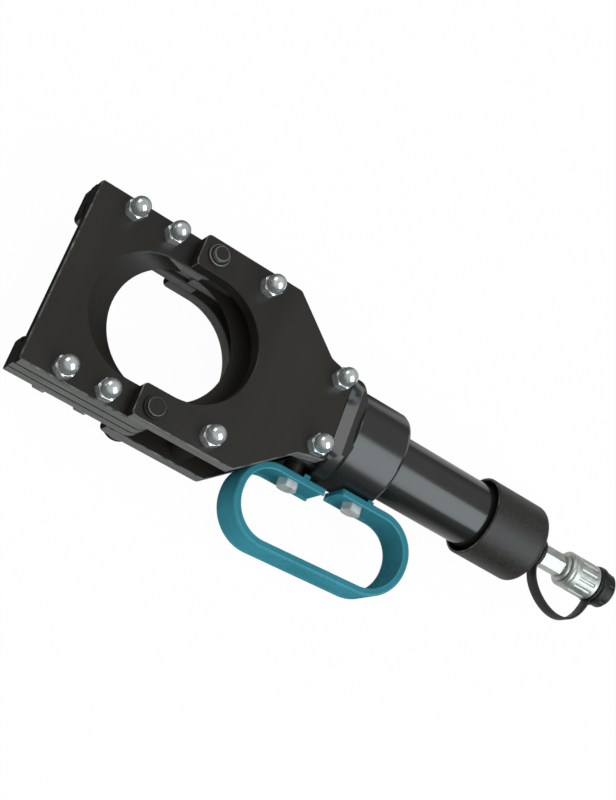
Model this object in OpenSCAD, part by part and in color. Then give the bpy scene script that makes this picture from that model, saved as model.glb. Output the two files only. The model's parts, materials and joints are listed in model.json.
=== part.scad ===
// Hydraulic cable-cutter head: an openable blade yoke pinned to a two-plate frame, a ram cylinder behind it,
// a bent strap handle below and a capped hose coupler at the tail.
// The jaw centre is the origin. X runs from the nose to the tail, Z is square to the plates.

/* [Jaw] */
// Radius of the round jaw opening
jaw_r = 43; // [38:0.5:44]
// Thickness of each of the three yoke layers
layer_t = 10; // [8:0.5:12]
// How far the blade bevels run along the tool across one layer
bevel_run = 16.4; // [8:0.2:18]
// Travel of the moving blade
stroke = 92; // [60:1:92]

/* [Head] */
// Width across the head
head_w = 131; // [128:1:140]
// Jaw centre to the nose end of the fixed blade
nose_x = 82.3; // [78:0.1:90]
// Extra length of the spacer and guide layers past the nose
ear_x = 0; // [0:0.1:3]
// Place of the hinge and latch pins along the tool
pin_x = 2.5; // [0:0.5:5]
// Distance of the pins from the tool axis
pin_y = 55.5; // [55:0.1:57]
// Radius of the hinge and latch pins
pin_r = 6; // [5:0.25:6.5]
// Thickness of the two frame plates
plate_t = 11; // [9:0.5:13]
// How far the plate lugs reach ahead of the jaw centre
lug_x = 9.5; // [8:0.5:12]
// Centre of the round throat of the plates
throat_x = 10; // [8:0.5:14]
// Where the plates start to taper
taper_x = 64; // [58:1:70]
// Where the neck of the plates starts
neck_x = 101; // [96:1:104]
// Width of the plates where the neck starts
neck_w = 70; // [66:1:72]
// Rear edge of the plates
rear_x = 121; // [118:1:124]
// Width of the plates at the rear edge
rear_w = 61; // [58:1:64]

/* [Cylinder] */
// Radius of the cylinder flange
flange_r = 40; // [38:0.5:42]
// Height of the flats on the flange above the axis
flange_flat = 32; // [30:0.5:34]
// Thickness of the flange
flange_t = 13; // [10:0.5:16]
// Length of the slope in front of each flat
flange_slope = 6.5; // [4:0.5:7]
// Size of the bevel at the back rim of the flange
flange_cone = 4.5; // [1:0.5:4.5]
// Radius of the collar behind the flange
collar_r = 35; // [32:0.5:36]
// Rear end of the collar
collar_end = 171.5; // [165:0.5:178]
// Outer radius of the barrel
barrel_r = 23.6; // [22:0.25:25]
// Radius of the bore
bore_r = 17; // [15:0.25:18]
// Radius of the ram
ram_r = 12; // [10:0.25:13]
// Radius of the end cap
cap_r = 29; // [28:0.1:31]
// Front rim of the end cap
cap_start = 253.3; // [245:0.1:260]
// Rear face of the end cap
cap_end = 301.3; // [297:0.1:303]

/* [Coupler] */
// Width across flats of the hose nipple
hex_af = 15; // [13:0.5:17]
// Front end of the coupler collar
collar_nut_x = 338.4; // [336:0.2:342]
// Length of the coupler collar
collar_nut_l = 26; // [22:0.5:30]
// Radius of the coupler collar
collar_nut_r = 13.2; // [12:0.1:14]
// Grip scallops round the coupler collar
collar_nut_scallops = 14; // [12:1:24]
// Radius of the hose socket in the coupler
socket_r = 6.5; // [5.5:0.1:7]

/* [Handle] */
// Width of the handle band
band_w = 26; // [22:0.5:30]
// Thickness of the handle band
band_t = 3.4; // [3:0.1:5]
// Seat of the front band end below the axis
front_seat = 41.6; // [40.5:0.1:44]
// Seat of the rear band end below the axis
rear_seat = 34.8; // [34:0.1:34.9]
// Front end of the loop, outside
loop_x0 = 76; // [70:0.5:80]
// Rear end of the loop, outside
loop_x1 = 209.8; // [205:0.1:215]
// Underside of the loop at its front corner, below the axis
loop_drop_front = 99; // [94:0.5:105]
// Rise of the underside of the loop towards the rear, in degrees
loop_tilt = 2.7144; // [0:0.0001:5]

/* [Hidden] */
$fn = 96;
eps = 0.01;
fit = 0.05;
slip = 0.2;
half_w = head_w / 2;
stack = 1.5 * layer_t;
gap_half = stack + slip;
plate_top = gap_half + plate_t;
blade_half = layer_t / 2 - 0.1;
arm_r = half_w - pin_y;
spacer_in = pin_y - arm_r;
guide_in = jaw_r - 0.5;
blade_w = 2 * (spacer_in - 0.3);
lug_corner = 3.5;

// Fasteners of the plates and the yoke: 8 mm thread, 13 mm across flats
bolt_r = 4;
bolt_hole_r = 4.2;
bolt_af = 13;
bolt_head_h = 5.3;
nut_hex_h = 7;
nut_dome_r = 6.3;
nut_h = 16.6;
washer_r = 8;
washer_t = 1.6;
yoke_bolts_xy = [for (x = [-55.8, -26.6]) for (s = [-1, 1]) [x, s * 57.5]];
frame_bolts_xy = [for (p = [[42, 55], [111.5, 24.5]]) for (s = [-1, 1]) [p.x, s * p.y]];
spacer_xy = [for (s = [-1, 1]) [42, s * 55]];
spacer_r = 8;

// Blade, ram and cylinder stations along the axis
tang_x0 = 84;
tang_x1 = 102;
tang_half = 9;
blade_pin_x = 94;
blade_pin_r = 4;
ram_nose = 82;
tongue_x = 104;
tongue_w = 68;
flange_end = rear_x + flange_t;
wiper_x = [114, 119];
bush_x = [126, 146];
bush_r = 15.5;
barrel_x0 = 146;
barrel_x1 = 287;
piston_x = [265, 282];
ring_groove_x = [271, 276];
ring_r = 14;
cap_skirt_r = 26.8;
cap_seat_x = 279;
cap_round = 5.2;
port_r = 5;

// Coupler stations along the axis
strap_ring_x = [cap_end + 10.3, cap_end + 13.1];
hex_x = [cap_end + 13.5, 335.2];
neck_r = 6;
core_r = 9.4;
core_flange_r = 10.4;
core_x = 335.5;
collar_end_x = collar_nut_x + collar_nut_l;
eye_x = [collar_end_x + 0.4, collar_end_x + 2.2];
eye_r = 13.8;
lid_x = eye_x[1] + 0.2;
lid_r = 14.6;
lid_t = 4.4;
knob_r = 13.2;
knob_end = 379.4;
plug_l = 7;
strap_w = 10;
strap_t = 1.6;
// Bends of the cap strap, from the ring on the nipple round to the ring under the cap
strap_ctrl = [[strap_ring_x[0] + 1.4, -9.6], [strap_ring_x[0] + 1.4, -27.7], [335.2, -38.8], [356.4, -47.2],
    [eye_x[0] + 0.9, -12]];

// Handle stations
band_mid = band_t / 2;
front_screw_x = 113.5;
rear_screw_x = 163;
end_gap_x = [135.4, 147];
lip_w = 2.6;
lip_h = 1.6;
front_tip = 29.2;
rear_tip = 26;
nub_l = 4.5;
nub_h = 2.6;
end_cut = 1.6;

// Return spring
spring_wire_r = 1.6;
spring_r = 14.4;
spring_turns = 7;
spring_x0 = barrel_x0 + spring_wire_r + 0.2;
spring_x1 = piston_x[0] - spring_wire_r - 0.2;

black = [0.10, 0.10, 0.11];
gloss_black = [0.07, 0.08, 0.09];
satin_black = [0.13, 0.12, 0.11];
zinc = [0.78, 0.80, 0.82];
steel = [0.45, 0.46, 0.48];
teal = [0.16, 0.48, 0.55];
rubber = [0.06, 0.06, 0.07];
bronze = [0.62, 0.45, 0.22];

// Point on an arc that rounds the corner b between a and c with radius r, as a short list
function unit(v) = v / norm(v);
function corner(a, b, c, r, n = 10) =
    let (u = unit(a - b), v = unit(c - b))
    let (half = acos(u * v) / 2)
    let (centre = b + unit(u + v) * r / sin(half))
    let (p0 = b + u * r / tan(half) - centre, p1 = b + v * r / tan(half) - centre)
    let (a0 = atan2(p0.y, p0.x), turn = atan2(p1.y, p1.x) - a0)
    let (sweep = turn > 180 ? turn - 360 : turn < -180 ? turn + 360 : turn)
    [for (i = [0:n]) centre + r * [cos(a0 + sweep * i / n), sin(a0 + sweep * i / n)]];

// Outline with every corner rounded: each point is x, y, radius
function rounded(p) =
    let (n = len(p))
    [for (i = [0:n - 1])
        let (q = [for (k = [-1, 0, 1]) p[(i + k + n) % n]])
        for (e = q[1][2] > 0 ? corner([q[0].x, q[0].y], [q[1].x, q[1].y], [q[2].x, q[2].y], q[1][2])
            : [[q[1].x, q[1].y]]) e];

// Strip of even thickness along an open path
function side_step(p, i) =
    let (d = unit(p[min(i + 1, len(p) - 1)] - p[max(i - 1, 0)]))
    [-d.y, d.x];
function strip(p, t0, t1) = concat(
    [for (i = [0:len(p) - 1]) p[i] + side_step(p, i) * t0],
    [for (i = [len(p) - 1:-1:0]) p[i] + side_step(p, i) * t1]);

// Smooth curve of fourth order through five control points
function bezier(c, n) = [for (i = [0:n])
    let (t = i / n, s = 1 - t)
    s^4 * c[0] + 4 * s^3 * t * c[1] + 6 * s^2 * t^2 * c[2] + 4 * s * t^3 * c[3] + t^4 * c[4]];

// Solid of revolution about the tool axis from a profile of [x, r] points
module turned(profile) {
    rotate([0, 90, 0])
        rotate([0, 0, 90])
            rotate_extrude()
                polygon([for (p = profile) [p[1], p[0]]]);
}

module rod_x(x0, x1, r, fn = $fn) {
    translate([x0, 0, 0])
        rotate([0, 90, 0])
            cylinder(r = r, h = x1 - x0, $fn = fn);
}

module plate(points, z0, z1) {
    translate([0, 0, z0])
        linear_extrude(z1 - z0)
            polygon(points);
}

module holes(spots, r) {
    for (p = spots)
        translate([p.x, p.y, -100])
            cylinder(r = r, h = 200);
}

// Outline shared by the two frame plates, before the throat is cut
function plate_half() = [[-lug_x, half_w + 0.5, lug_corner], [taper_x, half_w + 0.5, 4],
    [neck_x, neck_w / 2, 8], [rear_x, rear_w / 2, 3]];
function plate_outline() = rounded([
    for (p = plate_half()) p,
    for (i = [3:-1:0]) [plate_half()[i].x, -plate_half()[i].y, plate_half()[i][2]]]);

// Straight mouth ending in a half round
module throat() {
    translate([-lug_x - 10, -jaw_r, -50])
        cube([throat_x + lug_x + 10, 2 * jaw_r, 100]);
    translate([throat_x, 0, -50])
        cylinder(r = jaw_r, h = 100);
}

// What is cut off the inner corner of each lug to round it
module lug_inner_corners(r) {
    for (s = [-1, 1])
        difference() {
            translate([-lug_x - 1, s > 0 ? jaw_r - 1 : -jaw_r - r, -50])
                cube([r + 1, r + 1, 100]);
            translate([-lug_x + r, s * (jaw_r + r), -51])
                cylinder(r = r, h = 102);
        }
}

module frame_plate(z0, z1) {
    difference() {
        plate(plate_outline(), z0, z1);
        throat();
        lug_inner_corners(lug_corner);
        holes([for (s = [-1, 1]) [pin_x, s * pin_y]], pin_r + fit);
        holes(frame_bolts_xy, bolt_hole_r);
    }
}

module front_plate() {
    color(black) frame_plate(gap_half, plate_top);
}

module back_plate() {
    color(black) frame_plate(-plate_top, -gap_half);
}

module frame_spacers() {
    color(black)
        for (p = spacer_xy)
            translate([p.x, p.y, -gap_half])
                difference() {
                    cylinder(r = spacer_r, h = 2 * gap_half);
                    translate([0, 0, -1])
                        cylinder(r = bolt_hole_r, h = 2 * gap_half + 2);
                }
}

// Hex-headed bolt from the back, with a washer under its head
module back_bolt(half_grip) {
    translate([0, 0, -half_grip - washer_t])
        difference() {
            cylinder(r = washer_r, h = washer_t);
            translate([0, 0, -1])
                cylinder(r = bolt_r - eps, h = washer_t + 2);
        }
    translate([0, 0, -half_grip - washer_t - bolt_head_h])
        cylinder(d = bolt_af / cos(30), h = bolt_head_h, $fn = 6);
    translate([0, 0, -half_grip - washer_t - 0.5])
        cylinder(r = bolt_r, h = 2 * half_grip + 2 * washer_t + 8);
}

// Domed cap nut, hollow for the bolt end
module cap_nut(half_grip) {
    difference() {
        translate([0, 0, half_grip]) {
            intersection() {
                cylinder(d = bolt_af / cos(30), h = nut_hex_h, $fn = 6);
                cylinder(r1 = bolt_af / 2 + nut_hex_h * tan(60), r2 = bolt_af / 2, h = nut_hex_h);
            }
            translate([0, 0, nut_hex_h - 0.5])
                cylinder(r = nut_dome_r, h = nut_h - nut_hex_h - nut_dome_r + 0.5);
            translate([0, 0, nut_h - nut_dome_r])
                sphere(r = nut_dome_r, $fn = 48);
        }
        translate([0, 0, half_grip - 1])
            cylinder(r = bolt_r + fit, h = 11.5);
    }
}

module frame_bolts() {
    color(zinc)
        for (p = frame_bolts_xy)
            translate([p.x, p.y, 0])
                back_bolt(plate_top);
}

module frame_nuts() {
    color(zinc)
        for (p = frame_bolts_xy)
            translate([p.x, p.y, 0])
                cap_nut(plate_top);
}

// Headed from the back, with a clip groove at the front
hinge_head_r = 11;
hinge_head_t = 4.5;
clip_groove_z = plate_top + 0.5;
clip_t = 1.4;
module hinge_pin() {
    color(black)
        translate([pin_x, -pin_y, 0])
            difference() {
                union() {
                    translate([0, 0, -plate_top - hinge_head_t])
                        cylinder(r = hinge_head_r, h = hinge_head_t);
                    translate([0, 0, -plate_top - 1])
                        cylinder(r = pin_r, h = 2 * plate_top + 5);
                }
                translate([0, 0, clip_groove_z])
                    difference() {
                        cylinder(r = pin_r + 1, h = clip_t);
                        cylinder(r = pin_r - 0.8, h = clip_t);
                    }
            }
}

module hinge_pin_clip() {
    color(black)
        translate([pin_x, -pin_y, clip_groove_z + 0.1])
            linear_extrude(clip_t - 0.2)
                difference() {
                    circle(r = pin_r + 1.6);
                    circle(r = pin_r - 0.7);
                    translate([0, -1.5])
                        square([pin_r + 4, 3]);
                }
}

// Half of the flange's side view: a slope in front that leads up to the flat; s is 1 above the axis and -1 below
function flat_outline(s) = let (low = plate_top + 0.5)
    s > 0
        ? [[flange_end + 1, flange_flat], [rear_x + flange_slope, flange_flat], [rear_x, low], [rear_x - 1, low]]
        : [[rear_x - 1, -low], [rear_x, -low], [rear_x + flange_slope, -flange_flat], [flange_end + 1, -flange_flat]];

// Flanged head that carries the plates in front and takes the barrel behind
module cylinder_head() {
    color(gloss_black)
        difference() {
            union() {
                translate([tongue_x, -tongue_w / 2, -gap_half])
                    cube([rear_x - tongue_x + 1, tongue_w, 2 * gap_half]);
                intersection() {
                    turned([[rear_x, 0], [rear_x, flange_r - 1], [rear_x + 1, flange_r],
                        [flange_end - flange_cone, flange_r], [flange_end, flange_r - flange_cone], [flange_end, 0]]);
                    rotate([90, 0, 0])
                        linear_extrude(height = 2 * flange_r + 2, center = true)
                            polygon([for (s = [-1, 1]) each flat_outline(s)]);
                }
                turned([[flange_end - 1, 0], [flange_end - 1, collar_r], [collar_end - 3, collar_r],
                    [collar_end - 0.9, collar_r - 0.9], [collar_end, collar_r - 3], [collar_end, 0]]);
            }
            rod_x(tongue_x - 1, collar_end, ram_r + 0.5);
            rod_x(wiper_x[0], wiper_x[1], ram_r + 3);
            rod_x(bush_x[0], collar_end, bush_r + fit);
            rod_x(barrel_x0, collar_end + 1, barrel_r + fit);
            holes([for (p = frame_bolts_xy) if (p.x > tongue_x) p], bolt_hole_r);
            translate([flange_end + 0.5, -collar_r - 5, -band_w])
                cube([4 * band_w, 5 + collar_r - rear_seat, 2 * band_w]);
            translate([front_screw_x, 0, 0])
                screw_hole(front_tip - 0.4);
            translate([rear_screw_x, 0, 0])
                screw_hole(rear_tip - 0.4);
        }
}

// Blind hole for a handle screw, from below
module screw_hole(depth_y) {
    rotate([90, 0, 0])
        translate([0, 0, depth_y])
            cylinder(r = bolt_r + fit, h = 40);
}

module gland_bush() {
    color(bronze)
        difference() {
            rod_x(bush_x[0], bush_x[1], bush_r);
            rod_x(bush_x[0] - 1, bush_x[1] + 1, ram_r + fit);
        }
}

module rod_wiper() {
    color(rubber)
        turned([[wiper_x[0] + 0.1, ram_r + fit], [wiper_x[0] + 0.1, ram_r + 2.9],
            [wiper_x[1] - 0.1, ram_r + 2.9], [wiper_x[1] - 0.1, ram_r + 0.8]]);
}

module cylinder_barrel() {
    color(gloss_black)
        turned([[barrel_x0, bore_r], [barrel_x0, barrel_r], [barrel_x1 - 1, barrel_r],
            [barrel_x1, barrel_r - 1], [barrel_x1, bore_r]]);
}

// Cap that closes the barrel, with a skirt standing clear of it in front
module end_cap() {
    r0 = cap_r - cap_round;
    color(satin_black)
        turned(concat(
            [[cap_start, cap_skirt_r], [cap_start, cap_r - 0.6], [cap_start + 0.6, cap_r]],
            [for (a = [0:9:90]) [cap_end - cap_round + cap_round * sin(a), r0 + cap_round * cos(a)]],
            [[cap_end, port_r + fit], [barrel_x1 + 0.2, port_r + fit], [barrel_x1 + 0.2, barrel_r + fit],
                [cap_seat_x, barrel_r + fit], [cap_seat_x, cap_skirt_r]]));
}

// Helix of round wire along the tool axis
function helix(t) =
    let (a = 360 * spring_turns * t)
    [spring_x0 + (spring_x1 - spring_x0) * t, spring_r * cos(a), spring_r * sin(a)];
spring_rings = spring_turns * 8;
spring_sides = 6;
spring_points = [for (i = [0:spring_rings]) helix(i / spring_rings)];
spring_gap = min([for (i = [0:spring_rings - 8]) norm(spring_points[i + 8] - spring_points[i])]) - 2 * spring_wire_r;
module return_spring() {
    ring = [for (i = [0:spring_rings])
        let (p = spring_points[i], a = 360 * spring_turns * i / spring_rings)
        for (k = [0:spring_sides - 1])
            let (b = 360 * k / spring_sides)
            p + spring_wire_r * [cos(b), sin(b) * cos(a), sin(b) * sin(a)]];
    n = spring_sides;
    wall = [for (i = [0:spring_rings - 1]) for (k = [0:n - 1])
        let (j = (k + 1) % n)
        for (f = [[i * n + k, i * n + j, i * n + j + n], [i * n + k, i * n + j + n, i * n + k + n]]) f];
    ends = [for (k = [1:n - 2]) for (f = [[0, k + 1, k],
        [spring_rings * n, spring_rings * n + k, spring_rings * n + k + 1]]) f];
    color(steel)
        polyhedron(ring, concat(wall, ends));
    echo(spring_gap = spring_gap);
}

// Hex nipple screwed into the end cap
module hose_nipple() {
    color(zinc)
        difference() {
            union() {
                rod_x(barrel_x1 + 1, strap_ring_x[1] + 0.5, port_r);
                turned([[cap_end + 0.3, 0], [cap_end + 0.3, 8], [cap_end + 1.1, 8.8], [strap_ring_x[0] - 1.1, 8.8],
                    [strap_ring_x[0] - 0.3, 8], [strap_ring_x[0] - 0.3, 0]]);
                intersection() {
                    rod_x(hex_x[0], hex_x[1], hex_af / 2 / cos(30), 6);
                    turned([[hex_x[0], 0], [hex_x[0], hex_af / 2], [hex_x[0] + 1, hex_af / 2 + 1.2],
                        [hex_x[1] - 1, hex_af / 2 + 1.2], [hex_x[1], hex_af / 2], [hex_x[1], 0]]);
                }
                rod_x(hex_x[1] - 1, core_x + 4, neck_r);
            }
            rod_x(barrel_x1, core_x + 5, 2.5);
        }
}

// Male half of the coupler, with the hose socket at its end
module coupler_body() {
    color(zinc)
        difference() {
            turned([[core_x, 0], [core_x, core_flange_r - 0.8], [core_x + 0.8, core_flange_r],
                [collar_nut_x - 0.4, core_flange_r], [collar_nut_x - 0.4, core_r], [collar_end_x - 1, core_r], [collar_end_x, core_r - 1],
                [collar_end_x, 0]]);
            rod_x(core_x - 1, core_x + 4.2, neck_r + fit);
            rod_x(core_x, collar_end_x, 2.5);
            rod_x(collar_end_x - 14, collar_end_x + 1, socket_r);
        }
}

// One-piece strap with a ring round the nipple and a ring under the cap
module cap_strap() {
    color(rubber) {
        difference() {
            rod_x(strap_ring_x[0], strap_ring_x[1], 11);
            rod_x(strap_ring_x[0] - 1, strap_ring_x[1] + 1, port_r + 0.1);
        }
        difference() {
            rod_x(eye_x[0], eye_x[1], eye_r);
            rod_x(eye_x[0] - 1, eye_x[1] + 1, socket_r + 0.1);
        }
        translate([0, 0, -strap_w / 2])
            linear_extrude(strap_w)
                polygon(strip(bezier(strap_ctrl, 24), strap_t / 2, -strap_t / 2));
    }
}

// Knurled collar that turns on the coupler body
module coupler_collar() {
    color(zinc)
        difference() {
            turned([[collar_nut_x, core_r + 0.1], [collar_nut_x, collar_nut_r - 1],
                [collar_nut_x + 1, collar_nut_r], [collar_nut_x + 2.6, collar_nut_r],
                [collar_nut_x + 3.4, collar_nut_r - 0.8], [collar_nut_x + 4.2, collar_nut_r],
                [collar_end_x - 1, collar_nut_r], [collar_end_x, collar_nut_r - 1],
                [collar_end_x, core_r + 0.1]]);
            for (i = [0:collar_nut_scallops - 1])
                rotate([i * 360 / collar_nut_scallops, 0, 0])
                    translate([0, 0, collar_nut_r + 1.2])
                        rod_x(collar_nut_x + 8, collar_end_x - 3.5, 1.9, 24);
        }
}

// Push-in dust cap with a notched knob
module dust_cap() {
    color(rubber)
        difference() {
            turned([[collar_end_x - plug_l, 0], [collar_end_x - plug_l, socket_r - 1.3],
                [collar_end_x - plug_l + 1, socket_r - 0.3], [lid_x, socket_r - 0.3], [lid_x, lid_r - 1],
                [lid_x + 1, lid_r], [lid_x + lid_t - 1, lid_r], [lid_x + lid_t, lid_r - 1],
                [lid_x + lid_t, knob_r], [knob_end - 2, knob_r], [knob_end, knob_r - 2], [knob_end, 0]]);
            for (i = [0:5])
                rotate([i * 60, 0, 0])
                    translate([0, 0, knob_r + 0.8])
                        rod_x(lid_x + lid_t + 1.5, knob_end + 1, 2.2, 24);
        }
}

// Cross-section of the band: inward along x, across the band along y, with a raised lip on each edge
module band_section() {
    w = band_w / 2;
    polygon([[-band_mid, w - 1], [-band_mid, 1 - w], [1 - band_mid, -w], [band_mid + lip_h - 0.5, -w],
        [band_mid + lip_h, 0.5 - w], [band_mid + lip_h, lip_w - 0.8 - w], [band_mid, lip_w - w],
        [band_mid, w - lip_w], [band_mid + lip_h, w - lip_w + 0.8], [band_mid + lip_h, w - 0.5],
        [band_mid + lip_h - 0.5, w], [1 - band_mid, w]]);
}

// Straight run of the band from the origin along X
module band_run(length) {
    rotate([90, 0, 90])
        linear_extrude(length)
            band_section();
}

// Bend of the band to the left, from the origin
module band_bend(r, angle) {
    translate([0, r, 0])
        rotate([0, 0, -90])
            rotate_extrude(angle = angle)
                translate([r, 0])
                    mirror([1, 0])
                        band_section();
}

// Corners of the band's middle line, each with its bend radius, from the front end round to the rear end
band_corners = [
    [end_gap_x[0], -front_seat - band_mid, 0],
    [loop_x0 + band_mid, -front_seat - band_mid, 22.8],
    [loop_x0 + band_mid, -loop_drop_front + band_mid, 27.8],
    [loop_x1 - band_mid, -loop_drop_front + band_mid + (loop_x1 - loop_x0 - 2 * band_mid) * tan(loop_tilt), 29.8],
    [loop_x1 - band_mid, -rear_seat - band_mid, 25.2],
    [end_gap_x[1], -rear_seat - band_mid, 0]];
function spot(i) = [band_corners[i].x, band_corners[i].y];
function heading(i) = atan2(spot(i + 1).y - spot(i).y, spot(i + 1).x - spot(i).x);
function bend_angle(i) = (heading(i) - heading(i - 1) + 720) % 360;
function setback(i) = band_corners[i][2] == 0 ? 0 : band_corners[i][2] * tan(bend_angle(i) / 2);
function run_length(i) = norm(spot(i + 1) - spot(i)) - setback(i) - setback(i + 1);
// Lay the band run by run, each starting where the bend before it ends
module band_from(i) {
    band_run(run_length(i));
    if (i + 2 < len(band_corners))
        translate([run_length(i), 0, 0]) {
            band_bend(band_corners[i + 1][2], bend_angle(i + 1));
            translate([0, band_corners[i + 1][2], 0])
                rotate([0, 0, bend_angle(i + 1)])
                    translate([0, -band_corners[i + 1][2], 0])
                        band_from(i + 1);
        }
}
module handle_loop() {
    translate([spot(0).x, spot(0).y, 0])
        rotate([0, 0, 180])
            band_from(0);
}

// Triangle that cuts one corner off a band end, seen along Y
module end_corner(x, dir, side) {
    translate([x, -20, side * band_w / 2])
        rotate([90, 0, 0])
            linear_extrude(60)
                polygon([[-dir * 0.5, side], [-dir * 0.5, -side * end_cut],
                    [dir * (end_cut + 0.5), side * 0.5], [dir * (end_cut + 0.5), side]]);
}

// Small locating tabs on the front edge, shaped to stand clear of the collar
module locating_tabs() {
    difference() {
        for (p = [[front_screw_x + 4, front_seat], [rear_screw_x + 4, rear_seat]])
            translate([p.x, -p.y - 1.5, band_w / 2 - 3])
                cube([nub_l, nub_h + 1.5, 2]);
        rod_x(rear_x, 2 * collar_end, collar_r + 0.2);
    }
}

module handle_band() {
    color(teal)
        difference() {
            union() {
                handle_loop();
                locating_tabs();
            }
            for (side = [-1, 1]) {
                end_corner(end_gap_x[0], -1, side);
                end_corner(end_gap_x[1], 1, side);
            }
            for (x = [front_screw_x, rear_screw_x])
                translate([x, -30, 0])
                    rotate([90, 0, 0])
                        cylinder(r = bolt_r + 0.3, h = 30);
        }
}

// Handle screws, hex headed, from inside the loop
module handle_screw(seat, tip) {
    rotate([90, 0, 0]) {
        translate([0, 0, seat + band_t])
            intersection() {
                cylinder(d = bolt_af / cos(30), h = bolt_head_h, $fn = 6);
                cylinder(r1 = bolt_af / 2 + bolt_head_h * tan(60), r2 = bolt_af / 2, h = bolt_head_h);
            }
        translate([0, 0, tip])
            cylinder(r = bolt_r, h = seat + band_t + 0.5 - tip);
    }
}

module handle_screws() {
    color(zinc) {
        translate([front_screw_x, 0, 0])
            handle_screw(front_seat, front_tip);
        translate([rear_screw_x, 0, 0])
            handle_screw(rear_seat, rear_tip);
    }
}

module handle_spacer() {
    color(black)
        translate([front_screw_x, 0, 0])
            rotate([90, 0, 0])
                translate([0, 0, tongue_w / 2])
                    difference() {
                        cylinder(r = 7, h = front_seat - tongue_w / 2);
                        translate([0, 0, -1])
                            cylinder(r = bolt_r + 0.3, h = 20);
                    }
}

// One yoke arm: a bar with a round eye at the pin
module arm(y_in, x0, z0, z1) {
    translate([x0, y_in, z0])
        cube([pin_x - x0, half_w - y_in, z1 - z0]);
    translate([pin_x, pin_y, z0])
        cylinder(r = arm_r, h = z1 - z0);
}

module both_sides() {
    children();
    mirror([0, 1, 0])
        children();
}

module yoke_holes() {
    holes([for (s = [-1, 1]) [pin_x, s * pin_y]], pin_r + fit);
    holes(yoke_bolts_xy, bolt_hole_r);
}

// Slanting cut of the blade bevel, open to the tail
module bevel_cut(x_sharp, z_sharp, z_wide, run) {
    slope = run / (z_wide - z_sharp);
    over = z_wide > z_sharp ? 0.2 : -0.2;
    hull()
        for (z = [z_sharp - over, z_wide + over])
            for (x = [x_sharp - slope * (z - z_sharp), x_sharp + 80])
                translate([x, 0, z - eps / 2])
                    cylinder(r = jaw_r, h = eps, $fn = 72);
}

// Front layer of the yoke, which carries the fixed cutting edge on its rear face
module fixed_blade() {
    z0 = layer_t / 2;
    color(black)
        difference() {
            union() {
                both_sides()
                    arm(jaw_r, -nose_x, z0, stack);
                plate(rounded([[-nose_x, half_w, 1.5], [-nose_x, -half_w, 1.5], [-jaw_r / 4, -half_w, 0],
                    [-jaw_r / 4, half_w, 0]]), z0, stack);
            }
            bevel_cut(0, z0, stack, bevel_run);
            yoke_holes();
            for (s = [-1, 1])
                translate([-nose_x, s * half_w, z0 - 1])
                    rotate([0, 0, 45])
                        cube([2, 2, 3 * layer_t], center = true);
        }
}

module yoke_spacers() {
    color(black)
        difference() {
            both_sides()
                arm(spacer_in, -nose_x - ear_x, -layer_t / 2, layer_t / 2);
            yoke_holes();
            for (s = [-1, 1])
                translate([-nose_x - ear_x, s * spacer_in, 0])
                    rotate([0, 0, 45])
                        cube([8, 8, 2 * layer_t], center = true);
        }
}

module guide_arms() {
    x0 = -nose_x - ear_x;
    color(black)
        difference() {
            both_sides() {
                plate(rounded([[x0, half_w, 1], [x0, guide_in, 4.5], [pin_x, guide_in, 0],
                    [pin_x, half_w, 0]]), -stack, -layer_t / 2);
                translate([pin_x, pin_y, -stack])
                    cylinder(r = arm_r, h = layer_t);
                translate([pin_x - 0.5, guide_in, -stack])
                    cube([0.5 + arm_r / 2, arm_r, layer_t]);
            }
            yoke_holes();
        }
}

module yoke_bolts() {
    color(zinc)
        for (p = yoke_bolts_xy)
            translate([p.x, p.y, 0])
                back_bolt(stack);
}

module yoke_nuts() {
    color(zinc)
        for (p = yoke_bolts_xy)
            translate([p.x, p.y, 0])
                cap_nut(stack);
}

// Sliding blade: concave edge on its front face, bevelled from behind, with a tang for the ram
module moving_blade() {
    color(black)
        difference() {
            plate(rounded([[0, blade_w / 2, 0], [tang_x0, blade_w / 2, 12], [tang_x0, tang_half, 0],
                [tang_x1, tang_half, 3], [tang_x1, -tang_half, 3], [tang_x0, -tang_half, 0],
                [tang_x0, -blade_w / 2, 12], [0, -blade_w / 2, 0]]), -blade_half, blade_half);
            mirror([1, 0, 0])
                bevel_cut(0, blade_half, -blade_half, bevel_run);
            translate([blade_pin_x, 0, 0])
                cylinder(r = blade_pin_r + fit, h = 4 * layer_t, center = true);
        }
}

// Ram with a slotted nose that takes the blade's tang
module ram() {
    color(zinc)
        difference() {
            turned([[ram_nose, 0], [ram_nose, ram_r - 1.5], [ram_nose + 1.5, ram_r], [piston_x[0] + 6, ram_r],
                [piston_x[0] + 6, ram_r - 4], [piston_x[1], ram_r - 4], [piston_x[1], 0]]);
            translate([ram_nose - 1, -ram_r - 1, -blade_half - 0.1])
                cube([tang_x1 - ram_nose + 2, 2 * ram_r + 2, 2 * blade_half + 0.2]);
            translate([blade_pin_x, 0, 0])
                cylinder(r = blade_pin_r + fit, h = 3 * ram_r, center = true);
        }
}

module blade_pin() {
    color(steel)
        translate([blade_pin_x, 0, 0])
            cylinder(r = blade_pin_r, h = 2 * sqrt(ram_r^2 - blade_pin_r^2) - 0.4, center = true);
}

module piston() {
    color(steel)
        difference() {
            turned([[piston_x[0], 0], [piston_x[0], bore_r - 1], [piston_x[0] + 1, bore_r - 0.03],
                [piston_x[1] - 1, bore_r - 0.03], [piston_x[1], bore_r - 1], [piston_x[1], 0]]);
            rod_x(piston_x[0] - 1, piston_x[0] + 6, ram_r + fit);
            rod_x(piston_x[0] + 5, piston_x[1] + 1, ram_r - 4 + fit);
            difference() {
                rod_x(ring_groove_x[0], ring_groove_x[1], bore_r + 1);
                rod_x(ring_groove_x[0] - 1, ring_groove_x[1] + 1, ring_r);
            }
        }
}

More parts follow.
